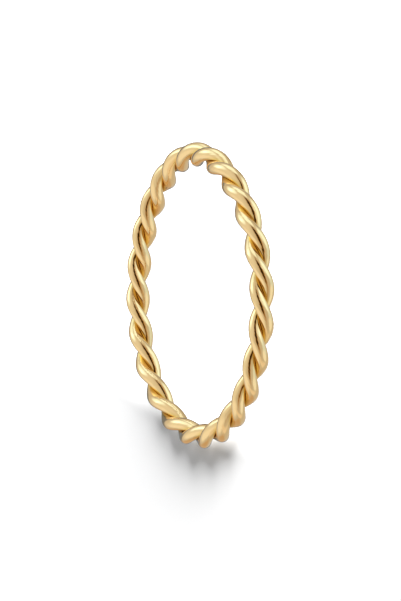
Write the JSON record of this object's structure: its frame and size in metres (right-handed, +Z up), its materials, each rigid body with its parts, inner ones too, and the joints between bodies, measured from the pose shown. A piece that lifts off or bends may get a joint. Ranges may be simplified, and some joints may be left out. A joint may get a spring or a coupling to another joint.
{
  "type": "rope twist ring",
  "caption": "Finger ring of round polished wires twisted round each other into a closed band, lying flat.",
  "frame": {"origin": "on the surface that the ring lies on, under the centre of the band", "axes": "+Z up along the ring's own axis; -Y is the side of the band that is nearest the camera in the picture"},
  "size_m": [0.0206, 0.0205, 0.0019],
  "materials": {
    "polished_gold": "polished yellow gold plate over silver"
  },
  "bodies": {
    "root": {"strand_a": "polished_gold", "strand_b": "polished_gold"}
  },
  "joints": []
}
